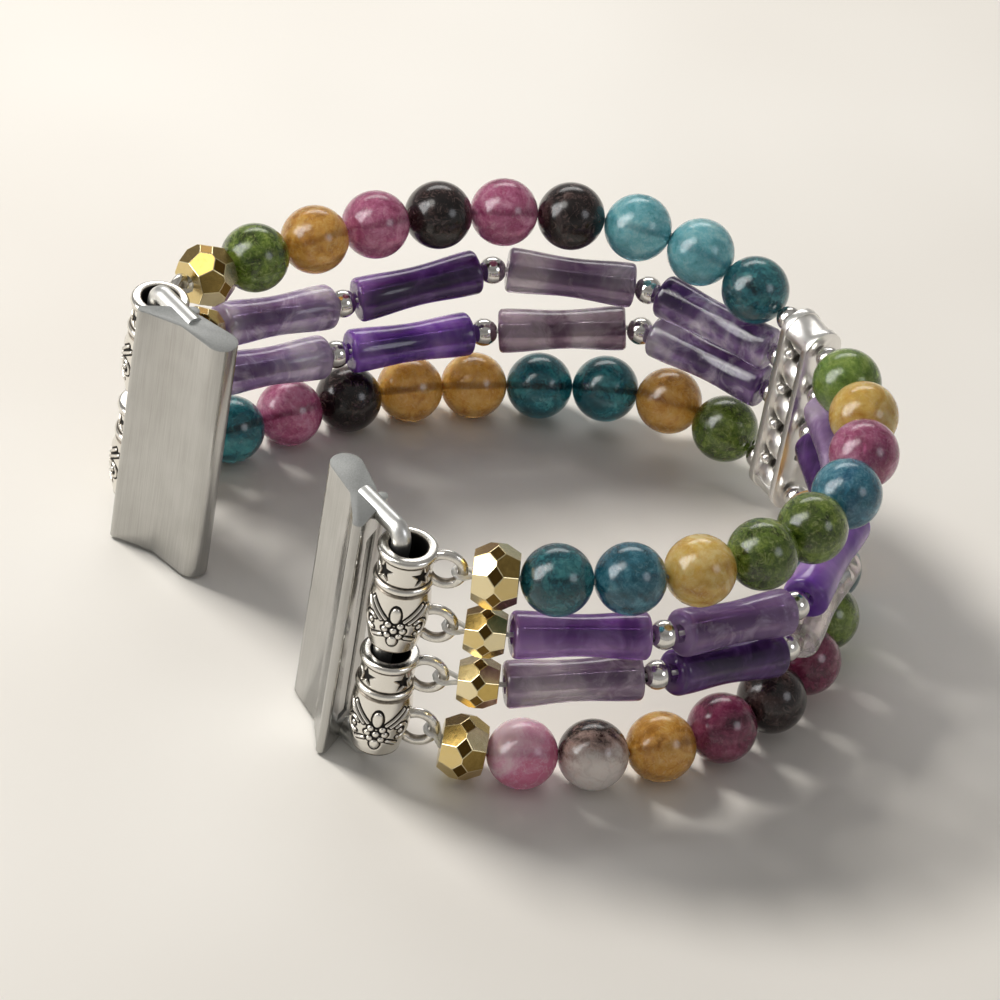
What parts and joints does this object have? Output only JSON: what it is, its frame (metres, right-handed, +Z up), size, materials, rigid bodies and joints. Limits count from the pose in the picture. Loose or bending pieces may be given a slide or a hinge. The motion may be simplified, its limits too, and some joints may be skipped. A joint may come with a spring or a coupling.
{
  "type": "beaded stretch watch band",
  "caption": "Beaded elastic band for a wrist watch: stone beads and tubes on cords between a spacer bar and bails on wire bars in sliding lug adapters.",
  "frame": {"origin": "middle of the band's box, on the table that it stands on", "axes": "+Z up along the wrist's axis, +Y from the watch towards the spacer bar, +X towards the wearer's side shown on the right"},
  "size_m": [0.0784, 0.0775, 0.0343],
  "materials": {
    "steel": "brushed steel",
    "antique_silver": "cast alloy, silver plated and blackened in its recesses",
    "cast_silver": "cast alloy, bright silver plate",
    "silver": "polished silver plate",
    "gold_plate": "metallic gold coating on cut glass",
    "clear_elastic": "clear elastic cord",
    "amethyst": "polished translucent amethyst",
    "teal_stone": "polished stone, dyed teal",
    "yellow_stone": "polished stone, honey yellow",
    "green_stone": "polished stone, olive green",
    "pink_stone": "polished stone, rose pink",
    "brown_stone": "polished stone, dark brown"
  },
  "bodies": {
    "band": {"spacer_bar": "cast_silver", "cord_1": "clear_elastic", "cord_2": "clear_elastic", "cord_3": "clear_elastic", "cord_4": "clear_elastic", "silver_balls_1": "silver", "silver_balls_2": "silver", "silver_balls_3": "silver", "silver_balls_4": "silver", "top_teal_beads": "teal_stone", "top_yellow_beads": "yellow_stone", "top_green_beads": "green_stone", "top_pink_beads": "pink_stone", "top_brown_beads": "brown_stone", "base_teal_beads": "teal_stone", "base_yellow_beads": "yellow_stone", "base_green_beads": "green_stone", "base_pink_beads": "pink_stone", "base_brown_beads": "brown_stone"},
    "right_lug": {"right_adapter": "steel", "right_bar": "steel"},
    "left_lug": {"left_adapter": "steel", "left_bar": "steel"},
    "right_bails": {"right_bail_1": "antique_silver", "right_bail_2": "antique_silver", "right_bail_3": "antique_silver", "right_bail_4": "antique_silver"},
    "left_bails": {"left_bail_1": "antique_silver", "left_bail_2": "antique_silver", "left_bail_3": "antique_silver", "left_bail_4": "antique_silver"},
    "right_rondelle_1": {"right_rondelle_1": "gold_plate"},
    "right_rondelle_2": {"right_rondelle_2": "gold_plate"},
    "right_rondelle_3": {"right_rondelle_3": "gold_plate"},
    "right_rondelle_4": {"right_rondelle_4": "gold_plate"},
    "left_rondelle_1": {"left_rondelle_1": "gold_plate"},
    "left_rondelle_2": {"left_rondelle_2": "gold_plate"},
    "left_rondelle_3": {"left_rondelle_3": "gold_plate"},
    "left_rondelle_4": {"left_rondelle_4": "gold_plate"},
    "right_upper_tube_1": {"right_upper_tube_1": "amethyst"},
    "right_upper_tube_2": {"right_upper_tube_2": "amethyst"},
    "right_upper_tube_3": {"right_upper_tube_3": "amethyst"},
    "right_upper_tube_4": {"right_upper_tube_4": "amethyst"},
    "right_lower_tube_1": {"right_lower_tube_1": "amethyst"},
    "right_lower_tube_2": {"right_lower_tube_2": "amethyst"},
    "right_lower_tube_3": {"right_lower_tube_3": "amethyst"},
    "right_lower_tube_4": {"right_lower_tube_4": "amethyst"},
    "left_upper_tube_1": {"left_upper_tube_1": "amethyst"},
    "left_upper_tube_2": {"left_upper_tube_2": "amethyst"},
    "left_upper_tube_3": {"left_upper_tube_3": "amethyst"},
    "left_upper_tube_4": {"left_upper_tube_4": "amethyst"},
    "left_lower_tube_1": {"left_lower_tube_1": "amethyst"},
    "left_lower_tube_2": {"left_lower_tube_2": "amethyst"},
    "left_lower_tube_3": {"left_lower_tube_3": "amethyst"},
    "left_lower_tube_4": {"left_lower_tube_4": "amethyst"}
  },
  "joints": [
    {"name": "right_loop_swing", "type": "hinge", "parent": "band", "child": "right_bails", "pos_m": [0.02147, -0.02844, 0.018], "axis": [0, 0, 1], "range_deg": [-20, 20]},
    {"name": "right_bar_swing", "type": "hinge", "parent": "right_bails", "child": "right_lug", "pos_m": [0.01656, -0.03371, 0.018], "axis": [0, 0, 1], "range_deg": [-30, 40]},
    {"name": "left_loop_swing", "type": "hinge", "parent": "band", "child": "left_bails", "pos_m": [-0.03496, -0.02788, 0.018], "axis": [0, 0, 1], "range_deg": [-20, 20]},
    {"name": "left_bar_swing", "type": "hinge", "parent": "left_bails", "child": "left_lug", "pos_m": [-0.03133, -0.03411, 0.018], "axis": [0, 0, 1], "range_deg": [-40, 30]},
    {"name": "right_rondelle_1_spin", "type": "hinge", "parent": "band", "child": "right_rondelle_1", "pos_m": [0.02384, -0.02576, 0.02922], "axis": [-0.6473, -0.7583, -0.0768], "continuous": true},
    {"name": "right_rondelle_2_spin", "type": "hinge", "parent": "band", "child": "right_rondelle_2", "pos_m": [0.02383, -0.0258, 0.02126], "axis": [-0.6492, -0.7596, -0.0383], "continuous": true},
    {"name": "right_rondelle_3_spin", "type": "hinge", "parent": "band", "child": "right_rondelle_3", "pos_m": [0.024, -0.02559, 0.01392], "axis": [-0.6444, -0.7627, -0.0549], "continuous": true},
    {"name": "right_rondelle_4_spin", "type": "hinge", "parent": "band", "child": "right_rondelle_4", "pos_m": [0.02376, -0.02585, 0.0041], "axis": [-0.6507, -0.7583, 0.0381], "continuous": true},
    {"name": "left_rondelle_1_spin", "type": "hinge", "parent": "band", "child": "left_rondelle_1", "pos_m": [-0.03523, -0.02445, 0.02922], "axis": [0.0478, -0.9958, -0.0775], "continuous": true},
    {"name": "left_rondelle_2_spin", "type": "hinge", "parent": "band", "child": "left_rondelle_2", "pos_m": [-0.03526, -0.02434, 0.02101], "axis": [0.0421, -0.9972, 0.0616], "continuous": true},
    {"name": "left_rondelle_3_spin", "type": "hinge", "parent": "band", "child": "left_rondelle_3", "pos_m": [-0.03527, -0.02416, 0.01351], "axis": [0.0366, -0.9948, 0.0947], "continuous": true},
    {"name": "left_rondelle_4_spin", "type": "hinge", "parent": "band", "child": "left_rondelle_4", "pos_m": [-0.03523, -0.02443, 0.0041], "axis": [0.0476, -0.9981, 0.0381], "continuous": true},
    {"name": "right_upper_tube_1_spin", "type": "hinge", "parent": "band", "child": "right_upper_tube_1", "pos_m": [0.02934, -0.0168, 0.02147], "axis": [-0.4753, -0.8798, -0.0132], "continuous": true},
    {"name": "right_upper_tube_2_spin", "type": "hinge", "parent": "band", "child": "right_upper_tube_2", "pos_m": [0.03446, 0.00111, 0.0203], "axis": [-0.0456, -0.9888, 0.142], "continuous": true},
    {"name": "right_upper_tube_3_spin", "type": "hinge", "parent": "band", "child": "right_upper_tube_3", "pos_m": [0.02986, 0.01885, 0.01919], "axis": [0.5233, -0.8516, -0.0319], "continuous": true},
    {"name": "right_upper_tube_4_spin", "type": "hinge", "parent": "band", "child": "right_upper_tube_4", "pos_m": [0.01625, 0.03131, 0.02041], "axis": [0.8897, -0.4454, -0.1007], "continuous": true},
    {"name": "right_lower_tube_1_spin", "type": "hinge", "parent": "band", "child": "right_lower_tube_1", "pos_m": [0.02945, -0.0166, 0.01484], "axis": [-0.469, -0.8777, -0.0984], "continuous": true},
    {"name": "right_lower_tube_2_spin", "type": "hinge", "parent": "band", "child": "right_lower_tube_2", "pos_m": [0.03447, 0.00127, 0.01419], "axis": [-0.0407, -0.9841, 0.1727], "continuous": true},
    {"name": "right_lower_tube_3_spin", "type": "hinge", "parent": "band", "child": "right_lower_tube_3", "pos_m": [0.02981, 0.01894, 0.01304], "axis": [0.5254, -0.8488, -0.0584], "continuous": true},
    {"name": "right_lower_tube_4_spin", "type": "hinge", "parent": "band", "child": "right_lower_tube_4", "pos_m": [0.01618, 0.03135, 0.01467], "axis": [0.8885, -0.4424, -0.1217], "continuous": true},
    {"name": "left_upper_tube_1_spin", "type": "hinge", "parent": "band", "child": "left_upper_tube_1", "pos_m": [-0.03492, -0.01381, 0.01999], "axis": [-0.0559, -0.9924, 0.1092], "continuous": true},
    {"name": "left_upper_tube_2_spin", "type": "hinge", "parent": "band", "child": "left_upper_tube_2", "pos_m": [-0.03212, 0.00487, 0.02024], "axis": [-0.2517, -0.9567, -0.1463], "continuous": true},
    {"name": "left_upper_tube_3_spin", "type": "hinge", "parent": "band", "child": "left_upper_tube_3", "pos_m": [-0.02399, 0.02173, 0.0216], "axis": [-0.5983, -0.8012, 0.0106], "continuous": true},
    {"name": "left_upper_tube_4_spin", "type": "hinge", "parent": "band", "child": "left_upper_tube_4", "pos_m": [-0.00929, 0.0329, 0.02131], "axis": [-0.9361, -0.3515, 0.01], "continuous": true},
    {"name": "left_lower_tube_1_spin", "type": "hinge", "parent": "band", "child": "left_lower_tube_1", "pos_m": [-0.03491, -0.01364, 0.01238], "axis": [-0.0569, -0.9922, 0.1107], "continuous": true},
    {"name": "left_lower_tube_2_spin", "type": "hinge", "parent": "band", "child": "left_lower_tube_2", "pos_m": [-0.03205, 0.0051, 0.01165], "axis": [-0.2587, -0.9652, -0.037], "continuous": true},
    {"name": "left_lower_tube_3_spin", "type": "hinge", "parent": "band", "child": "left_lower_tube_3", "pos_m": [-0.0239, 0.02189, 0.01373], "axis": [-0.5914, -0.7855, -0.182], "continuous": true},
    {"name": "left_lower_tube_4_spin", "type": "hinge", "parent": "band", "child": "left_lower_tube_4", "pos_m": [-0.00924, 0.03292, 0.01555], "axis": [-0.9365, -0.35, -0.0189], "continuous": true}
  ]
}
